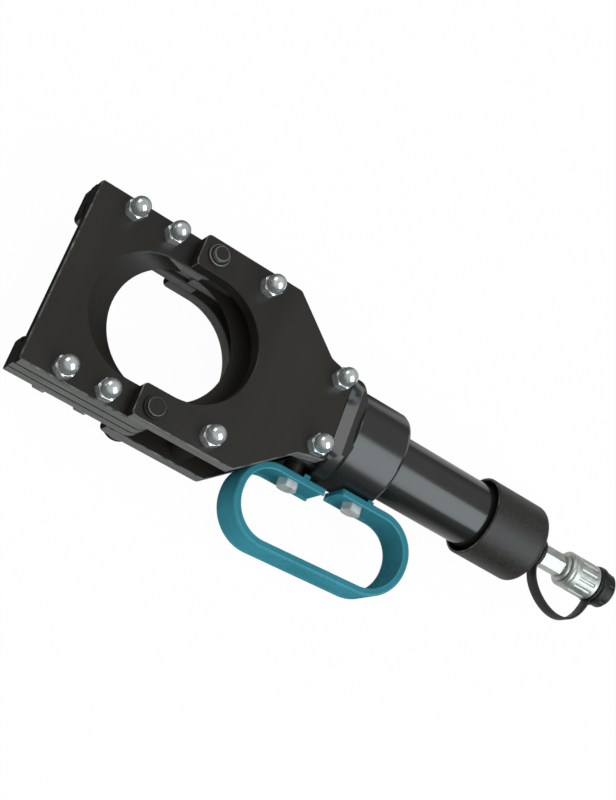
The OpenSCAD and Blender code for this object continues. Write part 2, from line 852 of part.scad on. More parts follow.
module piston_seal() {
    color(rubber)
        turned([[ring_groove_x[0] + 0.1, ring_r + fit], [ring_groove_x[0] + 0.1, bore_r - 0.02],
            [ring_groove_x[1] - 0.1, bore_r - 0.02], [ring_groove_x[1] - 0.1, ring_r + fit]]);
}

// Pull-out pin that locks the free yoke arm, with a grooved head to grip
latch_head_r = 7.4;
latch_knob_r = 5.4;
latch_profile = [[latch_head_r, 0], [latch_head_r, 1.6], [latch_head_r - 0.4, 2], [latch_knob_r - 0.6, 2],
    [latch_knob_r - 0.6, 2.7], [latch_knob_r, 3.1], [latch_knob_r, 4.7], [latch_knob_r - 0.6, 5.3], [0, 5.3]];
module latch_pin() {
    z0 = -plate_top - 3;
    color(black)
        translate([pin_x, pin_y, 0])
            rotate_extrude()
                polygon(concat([[0, z0], [pin_r - 2, z0], [pin_r, z0 + 2], [pin_r, plate_top]],
                    [for (p = latch_profile) [p.x, p.y + plate_top]]));
}

front_plate();
back_plate();
frame_spacers();
frame_bolts();
frame_nuts();
hinge_pin();
hinge_pin_clip();
cylinder_head();
gland_bush();
rod_wiper();
cylinder_barrel();
end_cap();
return_spring();
hose_nipple();
coupler_body();
cap_strap();
handle_band();
handle_screws();
handle_spacer();
fixed_blade();
yoke_spacers();
guide_arms();
yoke_bolts();
yoke_nuts();
moving_blade();
ram();
blade_pin();
piston();
piston_seal();
latch_pin();
coupler_collar();
dust_cap();
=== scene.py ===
import json
import math

import bmesh
import bpy
from mathutils import Matrix, Vector


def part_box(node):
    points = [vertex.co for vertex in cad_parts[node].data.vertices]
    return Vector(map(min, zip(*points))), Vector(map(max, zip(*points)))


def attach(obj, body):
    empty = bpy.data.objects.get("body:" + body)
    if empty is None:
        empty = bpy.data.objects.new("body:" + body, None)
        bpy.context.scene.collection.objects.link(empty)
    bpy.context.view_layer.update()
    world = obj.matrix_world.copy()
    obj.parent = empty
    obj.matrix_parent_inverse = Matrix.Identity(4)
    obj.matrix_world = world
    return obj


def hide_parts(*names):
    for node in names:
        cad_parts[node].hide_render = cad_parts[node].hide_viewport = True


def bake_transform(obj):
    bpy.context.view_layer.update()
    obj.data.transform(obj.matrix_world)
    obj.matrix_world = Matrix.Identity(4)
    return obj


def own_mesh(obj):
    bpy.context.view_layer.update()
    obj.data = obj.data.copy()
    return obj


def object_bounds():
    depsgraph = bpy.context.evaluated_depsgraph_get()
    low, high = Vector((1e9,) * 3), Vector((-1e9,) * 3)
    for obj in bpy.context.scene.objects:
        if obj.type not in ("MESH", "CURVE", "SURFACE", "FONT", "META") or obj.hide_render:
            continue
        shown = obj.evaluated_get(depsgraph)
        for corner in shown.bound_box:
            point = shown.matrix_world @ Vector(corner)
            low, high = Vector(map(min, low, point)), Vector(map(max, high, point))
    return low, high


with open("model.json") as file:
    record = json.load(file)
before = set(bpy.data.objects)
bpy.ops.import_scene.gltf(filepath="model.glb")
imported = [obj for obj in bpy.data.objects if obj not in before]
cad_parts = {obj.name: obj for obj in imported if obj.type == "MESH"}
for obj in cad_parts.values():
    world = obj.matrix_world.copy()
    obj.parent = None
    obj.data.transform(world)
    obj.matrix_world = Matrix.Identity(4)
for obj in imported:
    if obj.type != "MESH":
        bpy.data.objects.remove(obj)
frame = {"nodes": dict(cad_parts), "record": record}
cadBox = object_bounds()
scene = bpy.context.scene
cadNodes = frame["nodes"]
print("frame loaded:", len(cadNodes), "nodes")

mm = 0.001

# camera of the photograph: place, direction and roll come from a fit to the plate outlines
photoView = {
    "spot": (-0.25173, -0.36959, 0.81939),
    "ahead": (0.36812, 0.39293, -0.84267),
    "upward": (-0.47020, 0.86055, 0.19586),
    "lens": 66.25,
    "sensor": 36.0,
    "nearest": 0.01,
}


def placeCamera(view):
    ahead = Vector(view["ahead"]).normalized()
    right = ahead.cross(Vector(view["upward"])).normalized()
    upward = right.cross(ahead)
    turn = Matrix((right, upward, -ahead)).transposed().to_4x4()
    data = bpy.data.cameras.new("photoCamera")
    data.lens = view["lens"]
    data.sensor_width = view["sensor"]
    data.clip_start = view["nearest"]
    camera = bpy.data.objects.new("photoCamera", data)
    camera.matrix_world = Matrix.Translation(view["spot"]) @ turn
    scene.collection.objects.link(camera)
    scene.camera = camera


placeCamera(photoView)

# finishes: two tones and two roughnesses mottled together, with a fine grain in the bump
finishes = {
    "oxideBlack": {
        "tones": ((0.0125, 0.0108, 0.0090), (0.0185, 0.0160, 0.0136)), "metal": 0.0, "rough": (0.30, 0.38),
        "patch": 26, "grain": 900, "bump": 0.06, "stretch": (1, 0.25, 1), "level": 0.42},
    # paler edges: worn bare steel along the edges, and also a painted highlight
    "wornEdgeAndHighlight": {
        "tones": ((0.030, 0.029, 0.027), (0.20, 0.197, 0.188)), "metal": 0.2, "rough": (0.30, 0.45),
        "patch": 140, "grain": 700, "bump": 0.04, "stretch": (1, 1, 1), "level": 0.6},
    # pale grey: painted light on the sides of plates and layers, on the blade walls and on part of the back
    # plate's mouth, and a painted highlight on the pin rims
    "paintedLightGrey": {
        "tones": ((0.118, 0.119, 0.112), (0.162, 0.163, 0.154)), "metal": 0.0, "rough": (0.34, 0.46),
        "patch": 60, "grain": 700, "bump": 0.06, "stretch": (0.3, 1, 3), "level": 0.5},
    # very dark dull black: the frame spacers' finish, and painted shade on the plates' mouth walls, on faces
    # toward -X and in the seams between layers
    "dullBlackAndShade": {
        "tones": ((0.0070, 0.0064, 0.0056), (0.0130, 0.0120, 0.0106)), "metal": 0.0, "rough": (0.52, 0.64),
        "patch": 40, "grain": 700, "bump": 0.08, "stretch": (1, 1, 1), "level": 0.3},
    "cylinderEnamel": {
        "tones": ((0.0095, 0.0098, 0.0098), (0.0140, 0.0142, 0.0138)), "metal": 0.0, "rough": (0.15, 0.21),
        "patch": 18, "grain": 420, "bump": 0.02, "stretch": (1, 1, 1), "level": 0.8},
    "sleeveCoating": {
        "tones": ((0.0062, 0.0052, 0.0042), (0.0280, 0.0250, 0.0222)), "metal": 0.0, "rough": (0.42, 0.56),
        "patch": 700, "grain": 1300, "bump": 0.18, "stretch": (1, 1, 1), "level": 0.55},
    "zincPlate": {
        "tones": ((0.66, 0.70, 0.72), (0.90, 0.915, 0.92)), "metal": 0.86, "rough": (0.10, 0.20),
        "patch": 120, "grain": 800, "bump": 0.03, "stretch": (1, 1, 1), "level": 0.5},
    "paleZinc": {
        "tones": ((0.56, 0.57, 0.56), (0.78, 0.79, 0.78)), "metal": 0.3, "rough": (0.26, 0.38),
        "patch": 160, "grain": 900, "bump": 0.04, "stretch": (1, 1, 1), "level": 0.5},
    "satinZinc": {
        "tones": ((0.46, 0.47, 0.445), (0.62, 0.63, 0.60)), "metal": 0.8, "rough": (0.36, 0.46),
        "patch": 160, "grain": 900, "bump": 0.04, "stretch": (1, 1, 1), "level": 0.5},
    "groundSteel": {
        "tones": ((0.30, 0.305, 0.31), (0.46, 0.465, 0.47)), "metal": 1.0, "rough": (0.24, 0.42),
        "patch": 60, "grain": 500, "bump": 0.05, "stretch": (0.06, 1, 1), "level": 0.5},
    "tealPaint": {
        "tones": ((0.0250, 0.176, 0.230), (0.0330, 0.218, 0.284)), "metal": 0.0, "rough": (0.42, 0.52),
        "patch": 34, "grain": 300, "bump": 0.05, "stretch": (1, 1, 1), "level": 0.08},
    # paler teal along the handle band's edges: a painted highlight
    "tealRimHighlight": {
        "tones": ((0.038, 0.235, 0.290), (0.066, 0.310, 0.370)), "metal": 0.0, "rough": (0.34, 0.44),
        "patch": 90, "grain": 300, "bump": 0.05, "stretch": (1, 1, 1), "level": 0.3},
    "blackRubber": {
        "tones": ((0.008, 0.008, 0.0085), (0.018, 0.0175, 0.0175)), "metal": 0.0, "rough": (0.46, 0.62),
        "patch": 160, "grain": 1400, "bump": 0.08, "stretch": (1, 1, 1), "level": 0.45},
    "capRubber": {
        "tones": ((0.0045, 0.0046, 0.0050), (0.0095, 0.0095, 0.0100)), "metal": 0.0, "rough": (0.36, 0.50),
        "patch": 160, "grain": 1400, "bump": 0.08, "stretch": (1, 1, 1), "level": 0.4},
    "bronze": {
        "tones": ((0.42, 0.27, 0.11), (0.58, 0.40, 0.19)), "metal": 1.0, "rough": (0.25, 0.40),
        "patch": 80, "grain": 700, "bump": 0.04, "stretch": (1, 1, 1), "level": 0.5},
}
mottle = {
    "toneStops": (0.35, 0.68), "roughSpan": (0.3, 0.7), "patchDetail": 5, "grainDetail": 3,
    "bumpDepth": 0.2 * mm,
}


def makeFinish(name, look):
    material = bpy.data.materials.new(name)
    material.use_nodes = True
    tree = material.node_tree
    shader = tree.nodes["Principled BSDF"]
    shader.inputs["Metallic"].default_value = look["metal"]
    shader.inputs["Specular IOR Level"].default_value = look["level"]
    place = tree.nodes.new("ShaderNodeTexCoord")
    mapping = tree.nodes.new("ShaderNodeMapping")
    mapping.inputs["Scale"].default_value = look["stretch"]
    tree.links.new(place.outputs["Object"], mapping.inputs["Vector"])
    patch, grain = tree.nodes.new("ShaderNodeTexNoise"), tree.nodes.new("ShaderNodeTexNoise")
    for noise, kind in ((patch, "patch"), (grain, "grain")):
        noise.inputs["Scale"].default_value = look[kind]
        noise.inputs["Detail"].default_value = mottle[kind + "Detail"]
        tree.links.new(mapping.outputs["Vector"], noise.inputs["Vector"])
    ramp = tree.nodes.new("ShaderNodeValToRGB")
    for stop, tone, at in zip(ramp.color_ramp.elements, look["tones"], mottle["toneStops"]):
        stop.position = at
        stop.color = (*tone, 1)
    tree.links.new(patch.outputs["Fac"], ramp.inputs["Fac"])
    tree.links.new(ramp.outputs["Color"], shader.inputs["Base Color"])
    rough = tree.nodes.new("ShaderNodeMapRange")
    rough.inputs["From Min"].default_value, rough.inputs["From Max"].default_value = mottle["roughSpan"]
    rough.inputs["To Min"].default_value, rough.inputs["To Max"].default_value = look["rough"]
    tree.links.new(patch.outputs["Fac"], rough.inputs["Value"])
    tree.links.new(rough.outputs["Result"], shader.inputs["Roughness"])
    bump = tree.nodes.new("ShaderNodeBump")
    bump.inputs["Strength"].default_value = look["bump"]
    bump.inputs["Distance"].default_value = mottle["bumpDepth"]
    tree.links.new(grain.outputs["Fac"], bump.inputs["Height"])
    tree.links.new(bump.outputs["Normal"], shader.inputs["Normal"])
    return material


paint = {name: makeFinish(name, look) for name, look in finishes.items()}
print("finishes made:", len(paint))

# finish of each material slot, and the nodes that have another one than their slot
slotFinish = {
    "black_steel": "oxideBlack", "gloss_black": "cylinderEnamel", "satin_black": "sleeveCoating",
    "zinc": "zincPlate", "bright_steel": "groundSteel", "bronze": "bronze",
    "teal_paint": "tealPaint", "black_rubber": "blackRubber",
}
nodeFinish = {
    "coupler_collar": "satinZinc", "coupler_body": "satinZinc", "hose_nipple": "satinZinc",
    "frame_spacers": "dullBlackAndShade", "dust_cap": "capRubber", "handle_screws": "paleZinc",
}
nodeSlot = {row["node"]: row["material_slot"] for row in frame["record"]["subparts"]}
nodeBody = {node: body for body, held in frame["record"]["behaviour"]["bodies"].items() for node in held}


def finishOf(node):
    return paint[nodeFinish.get(node, slotFinish[nodeSlot[node]])]


def newPiece(name, mesh):
    obj = bpy.data.objects.new(name, mesh)
    scene.collection.objects.link(obj)
    return obj


def settle(obj, node):
    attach(obj, nodeBody[node])
    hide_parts(node)


def plainMesh(obj):
    graph = bpy.context.evaluated_depsgraph_get()
    mesh = bpy.data.meshes.new_from_object(obj.evaluated_get(graph))
    mesh.name = obj.name
    obj.modifiers.clear()
    obj.data = mesh


def softShade(mesh, angle):
    mesh.shade_smooth()
    mesh.set_sharp_from_angle(angle=math.radians(angle))


# rigid pieces with broken edges: width in mm and the finish that shows along them; the paler edge finishes
# also carry a painted highlight along the edges
brokenEdges = {
    "front_plate": (0.55, "wornEdgeAndHighlight"),
    "back_plate": (0.55, "wornEdgeAndHighlight"),
    "fixed_blade": (0.9, "wornEdgeAndHighlight"),
    "yoke_spacers": (0.9, "wornEdgeAndHighlight"),
    "guide_arms": (0.9, "wornEdgeAndHighlight"),
    # the two pins get the pale grey along their edges: a painted highlight on the rims
    "latch_pin": (0.7, "paintedLightGrey"),
    "hinge_pin": (0.7, "paintedLightGrey"),
    "moving_blade": (0.25, "wornEdgeAndHighlight"),
    "cylinder_head": (0.6, "wornEdgeAndHighlight"),
    "cylinder_barrel": (0.3, "cylinderEnamel"),
    "end_cap": (0.6, "wornEdgeAndHighlight"),
    "handle_band": (0.8, "tealRimHighlight"),
    "handle_screws": (0.3, "paleZinc"),
    "frame_bolts": (0.3, "zincPlate"),
    "yoke_bolts": (0.3, "zincPlate"),
    "coupler_collar": (0.25, "satinZinc"),
    "coupler_body": (0.25, "satinZinc"),
    "hose_nipple": (0.25, "satinZinc"),
    "dust_cap": (0.4, "capRubber"),
}
edgeAngle = 28  # degrees between two faces that make an edge worth breaking
# the last two slots hold the dark finish that carries painted shade and the pale grey that carries painted
# light
ownLook, edgeLook, dullAndShadeLook, paintedLightLook = range(4)  # material slots of a dressed piece

# faces with a look of their own: plate mouth walls and faces toward -X darker, which is painted shade; other
# sides of plates and layers and the blade walls paler, which is painted light;
# and the part of the back plate's mouth that faces away from +Y paler too, a painted pool of light
ownFaces = {
    "plates": ("front_plate", "back_plate"), "layers": ("fixed_blade", "yoke_spacers", "guide_arms"),
    "blade": "moving_blade", "paintedLightPlate": "back_plate",
    "mouthX": (-60 * mm, 60 * mm), "mouthHalf": 43.6 * mm,
    "bladeFlat": 0.95, "flat": 0.3, "paintedLightTurn": 0.1, "endTurn": -0.6, "innerTurn": -0.4,  # limits on the normal
}


def inMouth(node, face):
    spot = face.calc_center_median()
    start, deep = ownFaces["mouthX"]
    near = start < spot.x < deep and abs(spot.y) < ownFaces["mouthHalf"]
    return near and node in ownFaces["plates"] + ownFaces["layers"]


def faceLook(node, face):
    aim = face.normal
    if node == ownFaces["blade"]:
        return paintedLightLook if abs(aim.z) < ownFaces["bladeFlat"] else ownLook
    plate, layer = node in ownFaces["plates"], node in ownFaces["layers"]
    if not (plate or layer) or abs(aim.z) > ownFaces["flat"]:
        return ownLook
    mouth = inMouth(node, face)
    # part of the back plate's mouth: painted light
    if mouth and node == ownFaces["paintedLightPlate"] and aim.y < ownFaces["paintedLightTurn"]:
        return paintedLightLook
    # plate mouth walls and faces toward -X: painted shade
    if plate and mouth or aim.x < ownFaces["endTurn"]:
        return dullAndShadeLook
    # layer walls in the mouth that face +Y keep their own look; the other sides get painted light
    return ownLook if mouth and aim.y > ownFaces["innerTurn"] else paintedLightLook


# groove beside each edge of the handle band: its two sides and its bottom, in from the edge
handleGroove = {
    "node": "handle_band", "rims": (3.0 * mm, 7.0 * mm), "bottom": 5.0 * mm, "depth": 1.0 * mm,
    "upright": 0.3, "steady": 0.9, "outward": 0.35,  # limits that keep the groove on the smooth outer face
    "cutReach": 0.001 * mm, "levelReach": 0.01 * mm,
}


def cutGroove(work):
    low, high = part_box(handleGroove["node"])
    middle = (low + high) / 2
    half = (high.z - low.z) / 2
    for side in (-1, 1):
        for inward in (*handleGroove["rims"], handleGroove["bottom"]):
            level = Vector((0, 0, side * (half - inward)))
            everything = work.verts[:] + work.edges[:] + work.faces[:]
            bmesh.ops.bisect_plane(work, geom=everything, dist=handleGroove["cutReach"],
                                   plane_co=level, plane_no=(0, 0, 1))
    work.normal_update()
    for vert in work.verts:
        if abs(abs(vert.co.z) - half + handleGroove["bottom"]) > handleGroove["levelReach"]:
            continue
        walls = [face.normal for face in vert.link_faces if abs(face.normal.z) < handleGroove["upright"]]
        out = sum(walls, Vector()).normalized()
        steady = min(out.dot(wall) for wall in walls) > handleGroove["steady"]
        away = (vert.co - middle) * Vector((1, 1, 0))
        if steady and out.dot(away) > handleGroove["outward"] * away.length:
            vert.co -= out * handleGroove["depth"]


# flat ends that get a cut chamfer: the axis across the piece, and which of its two ends
flatEnds = {
    "front_plate": (2, (0, 1)), "back_plate": (2, (0, 1)), "fixed_blade": (2, (0, 1)),
    "yoke_spacers": (2, (0, 1)), "guide_arms": (2, (0, 1)), "cylinder_head": (0, (1,)), "end_cap": (0, (0, 1)),
}
chamfering = {"square": 0.999, "levelReach": 0.02 * mm, "seamReach": 1 * mm}


def isSeam(node, level):
    if node not in ownFaces["layers"]:
        return False
    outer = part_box("guide_arms")[0].z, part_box("fixed_blade")[1].z
    return min(abs(level - end) for end in outer) > chamfering["seamReach"]


def cutChamfers(work, node, width):
    axis, ends = flatEnds[node]
    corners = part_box(node)
    for end in ends:
        level, side = corners[end][axis], 2 * end - 1
        flat = [face for face in work.faces if face.normal[axis] * side > chamfering["square"]
                and abs(face.calc_center_median()[axis] - level) < chamfering["levelReach"]]
        rim = bmesh.ops.inset_region(work, faces=flat, thickness=width * mm,
                                     use_even_offset=True, use_boundary=True)["faces"]
        kept = {vert for face in flat for vert in face.verts}
        for vert in {vert for face in rim for vert in face.verts} - kept:
            vert.co[axis] -= side * width * mm
        # seam chamfers between layers get the dark finish, a painted shade in the groove; other chamfers get
        # the edge finish with its painted highlight, except in the mouth
        shown = dullAndShadeLook if isSeam(node, level) else edgeLook
        for face in rim:
            face.material_index = ownLook if inMouth(node, face) else shown
    work.normal_update()


# a chamfered copy is merged further than one that only gets a bevel
merging = {"chamfered": 0.03 * mm, "bevelled": 0.002 * mm, "flatWithin": 0.4}


def mergedCopy(node, width):
    mesh = bpy.data.meshes.new(node + "Dressed")
    work = bmesh.new()
    work.from_mesh(cadNodes[node].data)
    chamfered = node in flatEnds
    bmesh.ops.remove_doubles(work, verts=work.verts, dist=merging["chamfered" if chamfered else "bevelled"])
    bmesh.ops.dissolve_limit(work, angle_limit=math.radians(merging["flatWithin"]),
                             verts=work.verts, edges=work.edges)
    for face in work.faces:
        face.material_index = faceLook(node, face)
    if node == handleGroove["node"]:
        cutGroove(work)
    if chamfered:
        cutChamfers(work, node, width)
    work.to_mesh(mesh)
    work.free()
    return mesh


# turned walls whose shading is set straight out from the axis
turnedWalls = {
    "node": "cylinder_head", "radii": (35.0 * mm, 40.0 * mm), "reach": 0.05 * mm, "tilt": 0.08, "facing": 0.97,
}


def squareShade(mesh):
    normals = [Vector(corner.vector) for corner in mesh.corner_normals]
    for face in mesh.polygons:
        if abs(face.normal.x) > turnedWalls["tilt"]:
            continue
        for loop in face.loop_indices:
            spot = mesh.vertices[mesh.loops[loop].vertex_index].co
            out = Vector((0, spot.y, spot.z))
            onWall = any(abs(out.length - radius) < turnedWalls["reach"] for radius in turnedWalls["radii"])
            if onWall and out.normalized().dot(face.normal) > turnedWalls["facing"]:
                normals[loop] = out.normalized()
    mesh.normals_split_custom_set(normals)


def dress(node, width, edgeFinish):
    mesh = mergedCopy(node, width)
    for finish in (finishOf(node), paint[edgeFinish], paint["dullBlackAndShade"], paint["paintedLightGrey"]):
        mesh.materials.append(finish)
    softShade(mesh, edgeAngle)
    obj = newPiece(node + "Dressed", mesh)
    if node not in flatEnds:
        bevel = obj.modifiers.new("brokenEdge", "BEVEL")
        bevel.width = width * mm
        bevel.segments = 2
        bevel.limit_method = "ANGLE"
        bevel.angle_limit = math.radians(edgeAngle)
        bevel.material = edgeLook
        bevel.use_clamp_overlap = True
    flatten = obj.modifiers.new("flatFaces", "WEIGHTED_NORMAL")
    flatten.weight = 100
    flatten.keep_sharp = True
    plainMesh(obj)
    if node == turnedWalls["node"]:
        squareShade(obj.data)
    settle(obj, node)


for node, obj in cadNodes.items():
    obj.data.materials.clear()
    obj.data.materials.append(finishOf(node))
for node, (width, edgeFinish) in brokenEdges.items():
    dress(node, width, edgeFinish)
print("edges broken:", len(brokenEdges))


# small builders for node trees
def newTree(name, sizes):
    tree = bpy.data.node_groups.new(name, "GeometryNodeTree")
    tree.is_modifier = True
    tree.interface.new_socket("Geometry", in_out="INPUT", socket_type="NodeSocketGeometry")
    for size in sizes:
        tree.interface.new_socket(size, in_out="INPUT", socket_type="NodeSocketFloat")
    tree.interface.new_socket("finish", in_out="INPUT", socket_type="NodeSocketMaterial")
    tree.interface.new_socket("Geometry", in_out="OUTPUT", socket_type="NodeSocketGeometry")
    return tree, tree.nodes.new("NodeGroupInput"), tree.nodes.new("NodeGroupOutput")


def plug(tree, source, target):
    if hasattr(source, "is_output"):
        tree.links.new(source, target)
    else:
        target.default_value = source


def calc(tree, operation, *values):
    node = tree.nodes.new("ShaderNodeMath")
    node.operation = operation
    for value, socket in zip(values, node.inputs):
        plug(tree, value, socket)
    return node.outputs[0]


def eased(tree, value, start, reach):
    ease = tree.nodes.new("ShaderNodeMapRange")
    ease.interpolation_type = "SMOOTHSTEP"
    ease.inputs["From Min"].default_value, ease.inputs["From Max"].default_value = start
    ease.inputs["To Min"].default_value, ease.inputs["To Max"].default_value = reach
    tree.links.new(value, ease.inputs["Value"])
    return ease.outputs["Result"]


def point(tree, x, y, z):
    node = tree.nodes.new("ShaderNodeCombineXYZ")
    for value, socket in zip((x, y, z), node.inputs):
        plug(tree, value, socket)
    return node.outputs[0]


def spotParts(tree, spot):
    parts = tree.nodes.new("ShaderNodeSeparateXYZ")
    tree.links.new(spot, parts.inputs[0])
    return parts.outputs


def joined(tree, pieces):
    join = tree.nodes.new("GeometryNodeJoinGeometry")
    for piece in pieces:
        tree.links.new(piece, join.inputs["Geometry"])
    return join.outputs["Geometry"]


def placed(tree, geometry, turn, spot):
    place = tree.nodes.new("GeometryNodeTransform")
    place.inputs["Rotation"].default_value = turn
    plug(tree, spot, place.inputs["Translation"])
    tree.links.new(geometry, place.inputs["Geometry"])
    return place.outputs["Geometry"]


def wrapped(tree, columns, rows, radius, height, turn):
    sheet = tree.nodes.new("GeometryNodeMeshGrid")
    for axis, count in (("X", columns), ("Y", rows)):
        sheet.inputs["Size " + axis].default_value = 1.0
        sheet.inputs["Vertices " + axis].default_value = count + 1
    move = tree.nodes.new("GeometryNodeSetPosition")
    tree.links.new(sheet.outputs["Mesh"], move.inputs["Geometry"])
    across, aside = (calc(tree, "MULTIPLY", radius, calc(tree, part, turn)) for part in ("COSINE", "SINE"))
    tree.links.new(point(tree, across, aside, height), move.inputs["Position"])
    return move.outputs["Geometry"]


def swept(tree, path, profile, capped):
    sweep = tree.nodes.new("GeometryNodeCurveToMesh")
    sweep.inputs["Fill Caps"].default_value = capped
    tree.links.new(path, sweep.inputs["Curve"])
    tree.links.new(profile, sweep.inputs["Profile Curve"])
    return sweep.outputs["Mesh"]


def hoopOf(tree, radius, sides):
    hoop = tree.nodes.new("GeometryNodeCurvePrimitiveCircle")
    hoop.inputs["Resolution"].default_value = sides
    plug(tree, radius, hoop.inputs["Radius"])
    return hoop.outputs["Curve"]


def finishTree(tree, inputs, outputs, geometry):
    real = tree.nodes.new("GeometryNodeRealizeInstances")
    tree.links.new(geometry, real.inputs["Geometry"])
    coat = tree.nodes.new("GeometryNodeSetMaterial")
    tree.links.new(real.outputs["Geometry"], coat.inputs["Geometry"])
    tree.links.new(inputs.outputs["finish"], coat.inputs["Material"])
    tree.links.new(coat.outputs["Geometry"], outputs.inputs["Geometry"])


def runTree(tree, base, values):
    modifier = base.modifiers.new(tree.name, "NODES")
    modifier.node_group = tree
    for item in tree.interface.items_tree:
        if item.in_out == "INPUT" and item.name in values:
            modifier[item.identifier] = values[item.name]
    plainMesh(base)


# domed cap nuts: a chamfered hexagon and a dome, wrapped from flat grids by radius and height
capNuts = {
    "acrossFlats": 13.0 * mm, "hexHeight": 7.0 * mm, "domeRadius": 6.3 * mm, "nutHeight": 16.6 * mm,
    "softness": 0.35 * mm, "cornerLimit": 1.135, "topChamfer": 62, "footLimit": 1.06, "footFlare": 2.5,
    "columns": 96, "wallRows": 18, "shelfRows": 2, "domeRows": 16, "weld": 0.004 * mm, "seed": 7, "sharp": 45,
    "spots": {
        "frame_nuts": ((42.0, 55.0), (42.0, -55.0), (111.5, 24.5), (111.5, -24.5)),
        "yoke_nuts": ((-55.8, 57.5), (-55.8, -57.5), (-26.6, 57.5), (-26.6, -57.5)),
    },
}


def nutTree():
    tree, given, out = newTree("capNut", ("acrossFlats", "hexHeight", "domeRadius", "nutHeight", "softness"))
    size = given.outputs
    here = tree.nodes.new("GeometryNodeInputPosition")
    parts = spotParts(tree, here.outputs["Position"])
    along = calc(tree, "ADD", parts["Y"], 0.5)
    turn = calc(tree, "MULTIPLY", calc(tree, "ADD", parts["X"], 0.5), 2 * math.pi)
    wedge = calc(tree, "SUBTRACT", calc(tree, "MODULO", turn, math.pi / 3), math.pi / 6)
    half = calc(tree, "MULTIPLY", size["acrossFlats"], 0.5)
    flats = calc(tree, "DIVIDE", half, calc(tree, "COSINE", wedge))
    limit = calc(tree, "MULTIPLY", half, capNuts["cornerLimit"])
    rounded = calc(tree, "SMOOTH_MIN", flats, limit, size["softness"])
    slope = math.tan(math.radians(capNuts["topChamfer"]))

    def hexRadius(height):
        upper = calc(tree, "MULTIPLY_ADD", calc(tree, "SUBTRACT", size["hexHeight"], height), slope, half)
        foot = calc(tree, "MULTIPLY", half, capNuts["footLimit"])
        lower = calc(tree, "MULTIPLY_ADD", height, capNuts["footFlare"], foot)
        chamfered = calc(tree, "SMOOTH_MIN", rounded, upper, size["softness"])
        return calc(tree, "SMOOTH_MIN", chamfered, lower, size["softness"])

    columns = capNuts["columns"]
    height = calc(tree, "MULTIPLY", along, size["hexHeight"])
    wall = wrapped(tree, columns, capNuts["wallRows"], hexRadius(height), height, turn)
    base = wrapped(tree, columns, 1, calc(tree, "MULTIPLY", hexRadius(0.0), along), 0.0, turn)
    rim = hexRadius(size["hexHeight"])
    top = calc(tree, "MULTIPLY_ADD", calc(tree, "SUBTRACT", size["domeRadius"], rim), along, rim)
    shelf = wrapped(tree, columns, capNuts["shelfRows"], top, size["hexHeight"], turn)
    belowDome = calc(tree, "SUBTRACT", size["nutHeight"], size["domeRadius"])
    neck = calc(tree, "SUBTRACT", belowDome, size["hexHeight"])
    run = calc(tree, "MULTIPLY", along, calc(tree, "MULTIPLY_ADD", size["domeRadius"], math.pi / 2, neck))
    pastNeck = calc(tree, "MAXIMUM", calc(tree, "SUBTRACT", run, neck), 0.0)
    tilt = calc(tree, "DIVIDE", pastNeck, size["domeRadius"])
    level = calc(tree, "ADD", size["hexHeight"], calc(tree, "MINIMUM", run, neck))
    domeHeight = calc(tree, "MULTIPLY_ADD", calc(tree, "SINE", tilt), size["domeRadius"], level)
    domeRadius = calc(tree, "MULTIPLY", calc(tree, "COSINE", tilt), size["domeRadius"])
    dome = wrapped(tree, columns, capNuts["domeRows"], domeRadius, domeHeight, turn)
    weld = tree.nodes.new("GeometryNodeMergeByDistance")
    weld.inputs["Distance"].default_value = capNuts["weld"]
    tree.links.new(joined(tree, (wall, base, shelf, dome)), weld.inputs["Geometry"])
    chance = tree.nodes.new("FunctionNodeRandomValue")
    chance.inputs[3].default_value = math.pi / 3
    chance.inputs["Seed"].default_value = capNuts["seed"]
    put = tree.nodes.new("GeometryNodeInstanceOnPoints")
    tree.links.new(size["Geometry"], put.inputs["Points"])
    tree.links.new(weld.outputs["Geometry"], put.inputs["Instance"])
    tree.links.new(point(tree, 0.0, 0.0, chance.outputs[1]), put.inputs["Rotation"])
    finishTree(tree, given, out, put.outputs["Instances"])
    return tree


def makeNuts():
    tree = nutTree()
    for node, spots in capNuts["spots"].items():
        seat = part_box(node)[0].z
        mesh = bpy.data.meshes.new(node + "Domed")
        mesh.from_pydata([(x * mm, y * mm, seat) for x, y in spots], [], [])
        obj = newPiece(node + "Domed", mesh)
        runTree(tree, obj, {**capNuts, "finish": paint["zincPlate"]})
        softShade(obj.data, capNuts["sharp"])
        settle(obj, node)


makeNuts()
print("cap nuts made")

# strap of the dust cap: a flat band swept along a bow, with a ring at each end
capStrap = {
    "bandWidth": 10.0 * mm, "bandThick": 1.6 * mm, "softness": 0.5 * mm, "cornerSteps": 3, "sharp": 40,
    "ringOuter": 11.0 * mm, "ringInner": 5.1 * mm, "ringWide": 2.8 * mm,
    "eyeOuter": 13.8 * mm, "eyeInner": 6.6 * mm, "eyeWide": 1.8 * mm, "eyePastCollar": 2.2 * mm,
    "leaveY": (-0.0096, -0.0277), "sag": ((0.3352, -0.0388), (0.3564, -0.0472)), "arriveY": -0.012,
    "steps": 48, "hoopSides": 72,
}


def bowPoints(corners, steps):
    spots = []
    for step in range(steps + 1):
        row = [Vector(corner) for corner in corners]
        while len(row) > 1:
            row = [a.lerp(b, step / steps) for a, b in zip(row, row[1:])]
        spots.append(row[0])
    return spots


